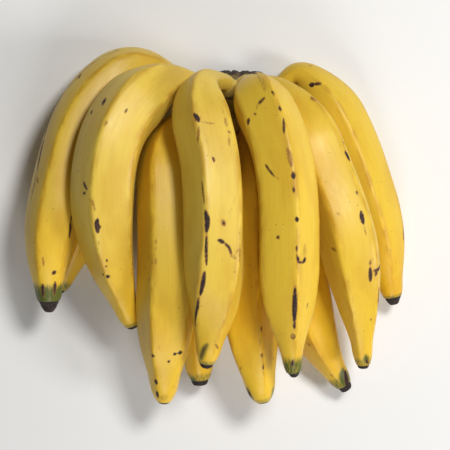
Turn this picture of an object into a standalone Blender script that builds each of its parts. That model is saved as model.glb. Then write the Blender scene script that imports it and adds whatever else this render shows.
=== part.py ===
"""A hand of eleven ripe plantains, lying palm down.

It rests on the cut face of its crown and on its lowest fingers. +Z is up, away from the palm.
The fingers spread from the crown like a fan and all bend towards -Y.
Lengths are written in millimetres and become metres through MM.
"""

import math

import bpy
import numpy as np
from mathutils import Matrix, Vector

MM = 0.001

# Crown: a cushion with a flat cut face on the ground, and a short round root under each finger
CROWN_MIDDLE = 9.0
CROWN_HALF_WIDTH = 31.0
CROWN_HEIGHT = 33.0
CROWN_LOW_EDGE = 80.0
CROWN_TOP_EDGE = 120.0
CROWN_END_SHRINK = 0.35
CROWN_END_POWER = 5.0
CROWN_STATIONS = (-1.0, -0.97, -0.9, -0.78, -0.5, 0.0, 0.5, 0.78, 0.9, 0.97, 1.0)
CROWN_ARC_POINTS = 25
FAN_CENTRE_HEIGHT = 9.0
FAN_RADIUS = 33.0
ROOT_DEPTH = 16.0
ROOT_SHAPE = ((1.0, 1.25), (0.5, 1.06), (0.0, 0.97))
ROOT_CLEARANCE = 0.5
GAP = 0.45

# Places of the finger roots along Y
OUTER_ROW = 107.0
INNER_ROW = 85.0
LOWEST_ROOT = 74.0

# Finger: thickness along its length
STALK_RATIO = 0.37
STALK_LENGTH = 5.0
SHOULDER_LENGTH = 62.0
TAPER_LENGTH = 85.0
TIP_RATIO = 0.21
TIP_FULLNESS = 1.5
TIP_FULL_PLACE = 9.0
TIP_FULL_REACH = 9.0

# Finger: rounded section with five faces
FACES = 5
STEPS_PER_FACE = 4
AROUND = FACES * STEPS_PER_FACE
FLATNESS = 0.75
RIDGE_POWER = 16
RIDGE_FADE = 45.0

# Finger: rings along its length
RINGS = 27
RING_CROWDING = 0.06
LINE_SAMPLES = 400

PEEL_YELLOW = (0.78, 0.55, 0.11)
PEEL_AMBER = (0.74, 0.46, 0.06)
CROWN_BROWN = (0.27, 0.20, 0.09)

# row, fan, lift and inset place the root on the crown: along Y, round the fan in degrees from +Z
# towards +X, the stalk's rise towards +Y in degrees, and how far the root lies inside the fan.
# girth is the half thickness, keel the turn in degrees of the main ridge from the outer curve, twist
# its further turn from the middle to the tip, flat how flat its five faces are, and route the points
# that the middle line passes after its root.
FINGERS = {
    "finger_outer_1": dict(
        row=OUTER_ROW, fan=-80, lift=20, girth=20, keel=-16, neck=0.85, flat=0.6,
        route=[(-62, 121, 21), (-103, 94, 34), (-123, 42, 44), (-132.5, -10, 48), (-134, -66, 40)],
    ),
    "finger_outer_2": dict(
        row=OUTER_ROW, fan=-48, lift=5, girth=22.7, keel=31, taper=115,
        route=[(-36, 109, 46), (-75, 81, 70), (-88.5, 38, 75), (-87, -18, 60), (-69.8, -78, 41)],
    ),
    "finger_outer_3": dict(
        row=OUTER_ROW, fan=-16, lift=15, girth=20.6, keel=-1, twist=-34, flat=0.9,
        route=[(-16, 103.5, 66), (-12, 60, 86), (-7, 7, 94), (-8, -50, 88), (-14, -105, 70)],
    ),
    "finger_outer_4": dict(
        row=OUTER_ROW, fan=14, lift=5, girth=21, keel=2, shoulder=36, neck=1.4,
        route=[(23, 98.5, 66), (36.5, 66, 87), (45.5, 4, 93), (46, -50, 86), (51.5, -113, 68)],
    ),
    "finger_outer_5": dict(
        row=OUTER_ROW, fan=48, lift=2, girth=21.5, keel=-2, taper=105, neck=1.2,
        route=[(47, 100, 43), (71, 53, 56), (87.5, 7, 64), (99, -45, 61), (105, -108, 46)],
    ),
    "finger_outer_6": dict(
        row=OUTER_ROW, fan=80, lift=35, girth=20.5, keel=0, flat=0.6,
        route=[(52, 116, 18), (86.5, 84, 20.5), (106, 36, 20.5), (123, -22, 21), (131.5, -61.5, 16)],
    ),
    "finger_inner_1": dict(
        row=INNER_ROW, fan=-70, lift=-10, girth=16.8, keel=0,
        route=[(-43, 76, 20), (-85, 52, 17), (-103, 13, 17), (-115.5, -19, 15.5), (-130.5, -53, 10)],
    ),
    "finger_inner_2": dict(
        row=INNER_ROW, fan=-42, lift=-16, girth=21.1, keel=14, neck=0.8, flat=0.9,
        route=[(-32.5, 77, 43), (-43.2, 42, 52), (-42.2, -4, 59.5), (-43.8, -70, 57.5), (-46.5, -135, 42)],
    ),
    "finger_inner_3": dict(
        row=LOWEST_ROOT, fan=-8, inset=18, lift=-80, girth=19.3, keel=0, neck=0.7,
        route=[(-7, 48, 24.5), (-14.5, 10, 25), (-17.5, -27, 25), (-20.5, -81, 23.5), (-19.5, -123.5, 16)],
    ),
    "finger_inner_4": dict(
        row=INNER_ROW, fan=22, lift=-48, girth=20.1, keel=-2, neck=0.65, flat=0.85,
        route=[(17, 60, 50), (16, 30, 54), (17, -11, 54.5), (18.5, -70, 50), (29.5, -135, 40)],
    ),
    "finger_inner_5": dict(
        row=INNER_ROW, fan=54, inset=4, lift=-60, girth=19.8, keel=0,
        route=[(45, 55, 23), (52, 10, 22), (59, -35, 23), (71, -85, 22), (95, -128, 14)],
    ),
}


def clear_scene():
    for thing in list(bpy.data.objects):
        bpy.data.objects.remove(thing)


def skin_material(name, colour, roughness):
    made = bpy.data.materials.new(name)
    made.use_nodes = True
    shader = made.node_tree.nodes["Principled BSDF"]
    shader.inputs["Base Color"].default_value = (*colour, 1.0)
    shader.inputs["Roughness"].default_value = roughness
    shader.inputs["Metallic"].default_value = 0.0
    made.diffuse_color = (*colour, 1.0)
    return made


def mesh_object(name, points, faces, finish):
    mesh = bpy.data.meshes.new(name)
    mesh.from_pydata([Vector(point) * MM for point in points], [], faces)
    mesh.materials.append(finish)
    mesh.shade_smooth()
    mesh.update()
    made = bpy.data.objects.new(name, mesh)
    bpy.context.scene.collection.objects.link(made)
    return made


def loft(rings):
    """Closed skin over rings of equal length, with a flat polygon at both ends."""
    count = len(rings[0])
    points = [point for ring in rings for point in ring]
    faces = [tuple(reversed(range(count)))]
    for i in range(len(rings) - 1):
        for j in range(count):
            k = (j + 1) % count
            faces.append((i * count + j, i * count + k, (i + 1) * count + k, (i + 1) * count + j))
    last = (len(rings) - 1) * count
    faces.append(tuple(range(last, last + count)))
    return points, faces


def unit(vector):
    return vector / np.linalg.norm(vector)


def root_of(row, fan, lift, inset):
    """Where a finger leaves the crown, and in which direction."""
    angle = math.radians(fan)
    rise = math.radians(lift)
    outward = np.array([math.sin(angle), 0.0, math.cos(angle)])
    start = np.array([CROWN_MIDDLE, row, FAN_CENTRE_HEIGHT]) + (FAN_RADIUS - inset) * outward
    direction = outward * math.cos(rise) + np.array([0.0, math.sin(rise), 0.0])
    return start, direction


def frame_across(fan, along):
    """Two directions across a finger: towards its outer curve, and towards its flank."""
    angle = math.radians(fan)
    flank = np.array([math.cos(angle), 0.0, -math.sin(angle)])
    flank = unit(flank - along * flank.dot(along))
    return np.cross(along, flank), flank


def smooth_line(points, start_direction):
    """Cubic pieces through the points: they leave along start_direction and end unbent."""
    steps = np.linalg.norm(np.diff(points, axis=0), axis=1)
    slopes = np.diff(points, axis=0) / steps[:, None]
    count = len(points)
    matrix = np.zeros((count, count))
    target = np.zeros((count, 3))
    matrix[0, :2] = 2 * steps[0], steps[0]
    target[0] = 6 * (slopes[0] - start_direction)
    for i in range(1, count - 1):
        matrix[i, i - 1:i + 2] = steps[i - 1], 2 * (steps[i - 1] + steps[i]), steps[i]
        target[i] = 6 * (slopes[i] - slopes[i - 1])
    matrix[-1, -1] = 1.0
    bends = np.linalg.solve(matrix, target)
    knots = np.concatenate(([0.0], np.cumsum(steps)))

    def place(at):
        i = min(max(int(np.searchsorted(knots, at, side="right")) - 1, 0), count - 2)
        near = at - knots[i]
        far = knots[i + 1] - at
        curved = (bends[i] * far ** 3 + bends[i + 1] * near ** 3) / (6 * steps[i])
        straight = (points[i] * far + points[i + 1] * near) / steps[i]
        return curved + straight - (bends[i] * far + bends[i + 1] * near) * steps[i] / 6

    return place, knots[-1]


def walked_line(points, start_direction):
    """Points along the smooth line, and the length walked at each of them."""
    place, end = smooth_line(points, start_direction)
    line = np.array([place(end * i / LINE_SAMPLES) for i in range(LINE_SAMPLES + 1)])
    walked = np.concatenate(([0.0], np.cumsum(np.linalg.norm(np.diff(line, axis=0), axis=1))))
    return line, walked


def point_at(line, walked, at):
    return np.array([np.interp(at, walked, line[:, axis]) for axis in range(3)])


def smoothstep(share):
    held = min(max(share, 0.0), 1.0)
    return held * held * (3 - 2 * held)


def thickness(girth, walked, left, shoulder, taper, neck):
    """Half thickness in mm: a stalk, a shoulder, a full body and a blunt tapered tip."""
    rise = smoothstep((walked - STALK_LENGTH) / shoulder)
    swell = STALK_RATIO + (1 - STALK_RATIO) * rise
    narrowing = math.sin(math.pi / 2 * min(1.0, left / taper)) ** neck
    blunt = TIP_FULLNESS * math.exp(-((left - TIP_FULL_PLACE) / TIP_FULL_REACH) ** 2)
    return girth * swell * (TIP_RATIO + (1 - TIP_RATIO) * narrowing) + blunt


def section(angle, edge):
    """Skin distance from the middle line, for an angle from the keel and a unit size."""
    flat = 0.0
    for k in range(FACES):
        face = (k + 0.5) * 2 * math.pi / FACES
        flat += max(0.0, math.cos(angle - face)) ** RIDGE_POWER
    return 1.0 - edge + edge * flat ** (-1.0 / RIDGE_POWER)


def ring_places(length):
    """Stations along a finger, closer together at the shoulder and at the tip."""
    places = []
    for i in range(RINGS):
        share = i / (RINGS - 1)
        places.append(length * (share - RING_CROWDING * math.sin(2 * math.pi * share)))
    return places


def finger(
    name, finish, row, fan, lift, girth, keel, route,
    inset=0.0, shoulder=SHOULDER_LENGTH, taper=TAPER_LENGTH, neck=1.0, twist=0.0, flat=FLATNESS,
):
    start, direction = root_of(row, fan, lift, inset)
    stations = np.array([start + direction * GAP] + route, dtype=float)
    line, walked = walked_line(stations, direction)
    length = walked[-1]
    rings = []
    for at in ring_places(length):
        here = point_at(line, walked, at)
        along = unit(point_at(line, walked, at + 1.0) - point_at(line, walked, at - 1.0))
        out, flank = frame_across(fan, along)
        size = thickness(girth, at, length - at, shoulder, taper, neck)
        edge = flat * min(1.0, at / RIDGE_FADE, (length - at) / RIDGE_FADE)
        lean = math.radians(keel + twist * smoothstep(2 * at / length - 1))
        ring = []
        for j in range(AROUND):
            turn = -2 * math.pi * j / AROUND
            angle = turn + lean
            point = here + size * section(turn, edge) * (out * math.cos(angle) + flank * math.sin(angle))
            point[2] = max(point[2], 0.0)
            ring.append(point)
        rings.append(ring)
    points, faces = loft(rings)
    return mesh_object(name, points, faces, finish)


def cushion(finish):
    """Body of the crown: half ellipses that shrink towards both ends, flat on the ground."""
    middle = (CROWN_TOP_EDGE + CROWN_LOW_EDGE) / 2
    half = (CROWN_TOP_EDGE - CROWN_LOW_EDGE) / 2
    rings = []
    for share in CROWN_STATIONS:
        size = 1.0 - CROWN_END_SHRINK * abs(share) ** CROWN_END_POWER
        ring = []
        for j in range(CROWN_ARC_POINTS):
            angle = math.pi * (j / (CROWN_ARC_POINTS - 1) - 0.5)
            x = CROWN_MIDDLE + size * CROWN_HALF_WIDTH * math.sin(angle)
            ring.append((x, middle + half * share, size * CROWN_HEIGHT * math.cos(angle)))
        rings.append(ring)
    points, faces = loft(rings)
    return mesh_object("crown", points, faces, finish)


def root_stub(finish, row, fan, lift, girth, inset=0.0):
    """Short round root that flares into the cushion."""
    start, direction = root_of(row, fan, lift, inset)
    out, flank = frame_across(fan, direction)
    rings = []
    for depth, size in ROOT_SHAPE:
        radius = girth * STALK_RATIO * size
        ring = []
        for j in range(AROUND):
            angle = -2 * math.pi * j / AROUND
            around = out * math.cos(angle) + flank * math.sin(angle)
            point = start - direction * ROOT_DEPTH * depth + around * radius
            point[2] = max(point[2], ROOT_CLEARANCE)
            ring.append(point)
        rings.append(ring)
    points, faces = loft(rings)
    return mesh_object("root", points, faces, finish)


def crown(finish):
    body = cushion(finish)
    roots = bpy.data.collections.new("roots")
    bpy.context.scene.collection.children.link(roots)
    for shape in FINGERS.values():
        places = {key: shape[key] for key in ("row", "fan", "lift", "girth", "inset") if key in shape}
        root = root_stub(finish, **places)
        bpy.context.scene.collection.objects.unlink(root)
        roots.objects.link(root)
    join = body.modifiers.new("join", "BOOLEAN")
    join.operation = "UNION"
    join.operand_type = "COLLECTION"
    join.collection = roots
    join.solver = "EXACT"
    scene_now = bpy.context.evaluated_depsgraph_get()
    joined = bpy.data.meshes.new_from_object(body.evaluated_get(scene_now))
    body.modifiers.clear()
    body.data = joined
    for root in list(roots.objects):
        bpy.data.objects.remove(root)
    bpy.data.collections.remove(roots)
    return body


def centre_on_ground(pieces):
    """Moves the meshes so that the hand's box stands centred on the origin."""
    corners = np.array([vertex.co for piece in pieces for vertex in piece.data.vertices])
    low = corners.min(axis=0)
    high = corners.max(axis=0)
    shift = Vector((-(low[0] + high[0]) / 2, -(low[1] + high[1]) / 2, -low[2]))
    for piece in pieces:
        piece.data.transform(Matrix.Translation(shift))
        piece.data.update()
    return shift


clear_scene()
pieces = [crown(skin_material("crown_skin", CROWN_BROWN, 0.8))]
for name, shape in FINGERS.items():
    colour = PEEL_YELLOW if shape["row"] == OUTER_ROW else PEEL_AMBER
    pieces.append(finger(name, skin_material("peel_" + name, colour, 0.42), **shape))
SHIFT = centre_on_ground(pieces)
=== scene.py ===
# %% [markdown]
# # A hand of eleven ripe plantains, lying palm down
# The real thing is one grown piece of a fruit stalk: a woody crown, and two rows of fruits that all
# spring from it. Each fruit has a thin stalk, a long five-sided body and a dried blossom end.
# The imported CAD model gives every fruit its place, bend and thickness in coarse facets. This lesson
# grows a fine skin over the same lines, then gives it the peel that a ripe plantain has.

# %% The frame
import math

import bpy
import numpy as np
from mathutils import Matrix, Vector


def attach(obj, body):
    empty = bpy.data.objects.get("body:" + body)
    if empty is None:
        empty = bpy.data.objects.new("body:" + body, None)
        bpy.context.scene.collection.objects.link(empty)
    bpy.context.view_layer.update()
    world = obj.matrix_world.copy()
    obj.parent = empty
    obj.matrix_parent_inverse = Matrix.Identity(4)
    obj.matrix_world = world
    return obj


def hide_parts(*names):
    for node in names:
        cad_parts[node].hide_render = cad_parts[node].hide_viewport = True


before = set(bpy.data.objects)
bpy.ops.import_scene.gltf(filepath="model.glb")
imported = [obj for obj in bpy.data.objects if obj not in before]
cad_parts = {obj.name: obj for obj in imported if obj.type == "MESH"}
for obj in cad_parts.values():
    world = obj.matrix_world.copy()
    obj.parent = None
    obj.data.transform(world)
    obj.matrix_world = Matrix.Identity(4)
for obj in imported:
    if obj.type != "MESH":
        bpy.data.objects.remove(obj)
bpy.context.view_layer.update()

MM = 0.001
print("CAD nodes:", sorted(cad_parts))

# %% [markdown]
# ## The plan of the hand
# Fruits of one hand differ in length, thickness and bend, and each leaves the crown in its own
# direction. They could be sculpted one by one, but a short list of numbers for each is easier to
# mend: where its root sits on the crown, how thick it is, and the points its middle line passes.
# They are the same numbers as in the CAD source, in millimetres.

# %% The plan
CROWN_MIDDLE = 9.0
FAN_CENTRE_HEIGHT = 9.0
FAN_RADIUS = 33.0
GAP = 0.45
OUTER_ROW = 107.0
INNER_ROW = 85.0
LOWEST_ROOT = 74.0
SHIFT = np.array([6.587, -0.872, 0.0])

FINGERS = {
    "finger_outer_1": dict(
        row=OUTER_ROW, fan=-80, lift=20, girth=20, keel=-16, neck=0.85, flat=0.6,
        route=[(-62, 121, 21), (-103, 94, 34), (-123, 42, 44), (-132.5, -10, 48), (-134, -66, 40)],
    ),
    "finger_outer_2": dict(
        row=OUTER_ROW, fan=-48, lift=5, girth=22.7, keel=31, taper=115,
        route=[(-36, 109, 46), (-75, 81, 70), (-88.5, 38, 75), (-87, -18, 60), (-69.8, -78, 41)],
    ),
    "finger_outer_3": dict(
        row=OUTER_ROW, fan=-16, lift=15, girth=20.6, keel=-1, twist=-34, flat=0.9,
        route=[(-16, 103.5, 66), (-12, 60, 86), (-7, 7, 94), (-8, -50, 88), (-14, -105, 70)],
    ),
    "finger_outer_4": dict(
        row=OUTER_ROW, fan=14, lift=5, girth=21, keel=2, shoulder=36, neck=1.4,
        route=[(23, 98.5, 66), (36.5, 66, 87), (45.5, 4, 93), (46, -50, 86), (51.5, -113, 68)],
    ),
    "finger_outer_5": dict(
        row=OUTER_ROW, fan=48, lift=2, girth=21.5, keel=-2, taper=105, neck=1.2,
        route=[(47, 100, 43), (71, 53, 56), (87.5, 7, 64), (99, -45, 61), (105, -108, 46)],
    ),
    "finger_outer_6": dict(
        row=OUTER_ROW, fan=80, lift=35, girth=20.5, keel=0, flat=0.6,
        route=[(52, 116, 18), (86.5, 84, 20.5), (106, 36, 20.5), (123, -22, 21), (131.5, -61.5, 16)],
    ),
    "finger_inner_1": dict(
        row=INNER_ROW, fan=-70, lift=-10, girth=16.8, keel=0,
        route=[(-43, 76, 20), (-85, 52, 17), (-103, 13, 17), (-115.5, -19, 15.5), (-130.5, -53, 10)],
    ),
    "finger_inner_2": dict(
        row=INNER_ROW, fan=-42, lift=-16, girth=21.1, keel=14, neck=0.8, flat=0.9,
        route=[(-32.5, 77, 43), (-43.2, 42, 52), (-42.2, -4, 59.5), (-43.8, -70, 57.5), (-46.5, -135, 42)],
    ),
    "finger_inner_3": dict(
        row=LOWEST_ROOT, fan=-8, inset=18, lift=-80, girth=19.3, keel=0, neck=0.7,
        route=[(-7, 48, 24.5), (-14.5, 10, 25), (-17.5, -27, 25), (-20.5, -81, 23.5), (-19.5, -123.5, 16)],
    ),
    "finger_inner_4": dict(
        row=INNER_ROW, fan=22, lift=-48, girth=20.1, keel=-2, neck=0.65, flat=0.85,
        route=[(17, 60, 50), (16, 30, 54), (17, -11, 54.5), (18.5, -70, 50), (29.5, -135, 40)],
    ),
    "finger_inner_5": dict(
        row=INNER_ROW, fan=54, inset=4, lift=-60, girth=19.8, keel=0,
        route=[(45, 55, 23), (52, 10, 22), (59, -35, 23), (71, -85, 22), (95, -128, 14)],
    ),
}
print("fruits:", len(FINGERS))

# %% [markdown]
# ## The middle line of a fruit
# A fruit bends smoothly from its stalk to its blossom end. A line through a few points could be
# drawn by hand as a Bezier curve. Here a cubic spline is solved instead, because it is the rule that
# the CAD source uses, so the fine skin lands exactly on the coarse one.

# %% Middle line
LINE_SAMPLES = 400


def unit(vector):
    return vector / np.linalg.norm(vector, axis=-1, keepdims=True)


def root_of(row, fan, lift, inset=0.0):
    """Where a fruit leaves the crown, and in which direction."""
    angle = math.radians(fan)
    rise = math.radians(lift)
    outward = np.array([math.sin(angle), 0.0, math.cos(angle)])
    start = np.array([CROWN_MIDDLE, row, FAN_CENTRE_HEIGHT]) + (FAN_RADIUS - inset) * outward
    return start, outward * math.cos(rise) + np.array([0.0, math.sin(rise), 0.0])


def smooth_line(points, start_direction):
    """Points along cubic pieces that leave along start_direction and end unbent."""
    steps = np.linalg.norm(np.diff(points, axis=0), axis=1)
    slopes = np.diff(points, axis=0) / steps[:, None]
    count = len(points)
    matrix = np.zeros((count, count))
    target = np.zeros((count, 3))
    matrix[0, :2] = 2 * steps[0], steps[0]
    target[0] = 6 * (slopes[0] - start_direction)
    for i in range(1, count - 1):
        matrix[i, i - 1:i + 2] = steps[i - 1], 2 * (steps[i - 1] + steps[i]), steps[i]
        target[i] = 6 * (slopes[i] - slopes[i - 1])
    matrix[-1, -1] = 1.0
    bends = np.linalg.solve(matrix, target)
    knots = np.concatenate(([0.0], np.cumsum(steps)))
    at = np.linspace(0.0, knots[-1], LINE_SAMPLES + 1)
    i = np.clip(np.searchsorted(knots, at, side="right") - 1, 0, count - 2)
    near = (at - knots[i])[:, None]
    far = (knots[i + 1] - at)[:, None]
    step = steps[i][:, None]
    curved = (bends[i] * far ** 3 + bends[i + 1] * near ** 3) / (6 * step)
    straight = (points[i] * far + points[i + 1] * near) / step
    return curved + straight - (bends[i] * far + bends[i + 1] * near) * step / 6


def middle_line(shape):
    """The line's points, the length walked at each of them, and the direction of the stalk."""
    start, direction = root_of(shape["row"], shape["fan"], shape["lift"], shape.get("inset", 0.0))
    stations = np.array([start + direction * GAP] + shape["route"], dtype=float)
    line = smooth_line(stations, direction)
    walked = np.concatenate(([0.0], np.cumsum(np.linalg.norm(np.diff(line, axis=0), axis=1))))
    return line, walked, direction


for name, shape in FINGERS.items():
    print(name, "is", round(middle_line(shape)[1][-1]), "mm long")

# %% [markdown]
# ## The spine: thickness and lean at every ring
# Along its middle line a fruit starts as a thin stalk, swells over the shoulder, stays full, and
# narrows to a blunt end. There the dried remains of the flower sit as a small dark stub, sharp on some
# fruits and cut flat on others. All of this depends only on the place along the line, so it is
# written on a simple chain of points. The skin is grown from that chain in the next step.

# %% Spine
STALK_RATIO = 0.37
STALK_LENGTH = 5.0
SHOULDER_LENGTH = 62.0
TAPER_LENGTH = 85.0
TIP_RATIO = 0.21
RIDGE_FADE = 45.0
ROOTED = 7.0
BODY_STEP = 0.95
TIP_PART = 14.0
TIP_STEP = 0.4
TIP_FULLNESS = 1.5
TIP_FULL_PLACE = 9.0
TIP_FULL_REACH = 9.0
STUB_STEP_IN = 0.55

# Dried blossom end of each fruit: its length in mm, the share of its width left at its end, then
# how far the green reaches from it in mm, and how green that is
STUBS = {
    "finger_outer_1": (9.5, 0.40, 15, 1.0),
    "finger_outer_2": (2.4, 0.72, 4, 0.5),
    "finger_outer_3": (3.6, 0.80, 5, 0.45),
    "finger_outer_4": (4.6, 0.40, 15, 0.75),
    "finger_outer_5": (2.8, 0.80, 8, 0.5),
    "finger_outer_6": (6.4, 0.50, 3, 0.5),
    "finger_inner_1": (4.0, 0.60, 10, 0.6),
    "finger_inner_2": (1.4, 0.84, 2, 0.2),
    "finger_inner_3": (4.4, 0.82, 8, 0.5),
    "finger_inner_4": (0.8, 0.92, 5, 0.4),
    "finger_inner_5": (5.0, 0.74, 12, 0.6),
}


def smoothstep(low, high, value):
    share = np.clip((value - low) / (high - low), 0.0, 1.0)
    return share * share * (3 - 2 * share)


def body_radius(shape, at, length):
    """Half the thickness of a fruit in mm, from its stalk to its tip."""
    rise = np.clip((at - STALK_LENGTH) / shape.get("shoulder", SHOULDER_LENGTH), 0.0, 1.0)
    swell = STALK_RATIO + (1 - STALK_RATIO) * rise * rise * (3 - 2 * rise)
    left = np.clip(length - at, 0.0, None)
    closing = np.sin(math.pi / 2 * np.minimum(1.0, left / shape.get("taper", TAPER_LENGTH)))
    narrowing = closing ** shape.get("neck", 1.0)
    full = TIP_FULLNESS * np.exp(-((left - TIP_FULL_PLACE) / TIP_FULL_REACH) ** 2)
    return shape["girth"] * swell * (TIP_RATIO + (1 - TIP_RATIO) * narrowing) + full


def tip_radius(shape, at, length, stub, narrow):
    """The same, with the stub set in by a small step and narrowing to its end."""
    radius = body_radius(shape, at, length)
    left = length - at
    root = body_radius(shape, np.array([length - stub]), length)[0] - STUB_STEP_IN
    share = np.clip(left / stub, 0.0, 1.0)
    dried = root * (narrow + (1 - narrow) * share ** 0.7)
    return np.where(left < stub, dried, radius)


def spine_of(name):
    """Everything that a ring of skin needs, one row for each ring."""
    shape = FINGERS[name]
    stub, narrow, green_reach, green = STUBS[name]
    line, walked, direction = middle_line(shape)
    length = walked[-1]
    buried = np.linspace(-ROOTED, 0.0, 8)[:-1]
    body = np.linspace(0.0, length - TIP_PART, int((length - TIP_PART) / BODY_STEP))[:-1]
    tip = np.linspace(length - TIP_PART, length, int(TIP_PART / TIP_STEP) + 1)
    at = np.concatenate(([-ROOTED, -ROOTED], buried, body, tip, np.full(5, length)))
    closing = np.ones(len(at))
    closing[:2] = 0.0, 0.6
    closing[-5:] = 0.86, 0.62, 0.36, 0.14, 0.0
    sunk = np.zeros(len(at))
    sunk[-5:] = 0.1, 0.4, 0.6, 0.6, 0.5

    def place(where):
        inside = np.stack([np.interp(where, walked, line[:, axis]) for axis in range(3)], axis=1)
        return inside + np.minimum(where, 0.0)[:, None] * direction

    along = unit(place(np.minimum(at, length - 1) + 1.0) - place(np.minimum(at, length - 1) - 1.0))
    here = place(at) - along * sunk[:, None]
    angle = math.radians(shape["fan"])
    flank = np.array([math.cos(angle), 0.0, -math.sin(angle)])
    flank = unit(flank - along * (along @ flank)[:, None])
    out = np.cross(along, flank)
    ridged = np.clip(np.minimum(at / RIDGE_FADE, (length - at) / RIDGE_FADE), 0.0, 1.0)
    lean = shape["keel"] + shape.get("twist", 0.0) * smoothstep(length / 2, length, at)
    return {
        "position": (here + SHIFT) * MM,
        "out": out,
        "flank": flank,
        "radius": tip_radius(shape, at, length, stub, narrow) * closing * MM,
        "open": closing,
        "ridged": ridged,
        "lean": np.radians(lean),
        "place": at,
        "share": np.clip(at / length, 0.0, 1.0),
        "dry": smoothstep(stub + 0.5, stub - 0.4, length - at),
        "leaf": green * smoothstep(stub + green_reach * 1.25, stub + green_reach * 0.45, length - at),
    }


def spine_mesh(name):
    """The chain as a mesh of points and edges, with the rows stored on its points."""
    rows = spine_of(name)
    count = len(rows["place"])
    mesh = bpy.data.meshes.new(name + "_spine")
    mesh.from_pydata(rows["position"].tolist(), [(i, i + 1) for i in range(count - 1)], [])
    for key, values in rows.items():
        if key == "position":
            continue
        vector = values.ndim == 2
        stored = mesh.attributes.new(key, "FLOAT_VECTOR" if vector else "FLOAT", "POINT")
        stored.data.foreach_set("vector" if vector else "value", values.astype(np.float32).ravel())
    return mesh


print("rings on the longest fruit:", max(len(spine_of(name)["place"]) for name in FINGERS))

# %% [markdown]
# ## Small helpers for node trees
# Node trees can be drawn in the editor, or written down. Written down, a formula reads like a
# formula, if adding a node and linking its inputs takes one call.

# %% Node helpers


def add(tree, kind, values=(), **settings):
    """One node. values go to its inputs in order: a socket is linked, None is left as it is."""
    node = tree.nodes.new(kind)
    for key, value in settings.items():
        setattr(node, key, value)
    for socket, value in zip(node.inputs, values):
        if isinstance(value, bpy.types.NodeSocket):
            tree.links.new(value, socket)
        elif value is not None:
            socket.default_value = value
    return node


def calc(tree, operation, *values):
    return add(tree, "ShaderNodeMath", values, operation=operation).outputs[0]


def vector(tree, operation, *values):
    return add(tree, "ShaderNodeVectorMath", values, operation=operation).outputs[0]


def times(tree, arrow, number):
    return vector(tree, "SCALE", arrow, None, None, number)


def ramp(tree, value, low, high, low_result=0.0, high_result=1.0):
    """A smooth step from low_result to high_result while value goes from low to high."""
    values = (value, low, high, low_result, high_result)
    return add(tree, "ShaderNodeMapRange", values, interpolation_type="SMOOTHSTEP").outputs[0]


def socket_ids(tree):
    return {item.name: item.identifier for item in tree.interface.items_tree if item.in_out == "INPUT"}


# %% [markdown]
# ## Growing the skin
# A plantain's skin follows a rule: at every place along the spine its section is a rounded pentagon,
# with soft flats between five ridges. It could be a curve with a bevel, but a bevel keeps one section
# from end to end. This tree makes a flat grid instead, one column of points for each ring, and moves
# every point to where the rule puts it. A slow noise dents the skin a little, a fine one crinkles
# the dried stub, and nothing goes below the ground.

# %% Skin tree
FACES = 5


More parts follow.
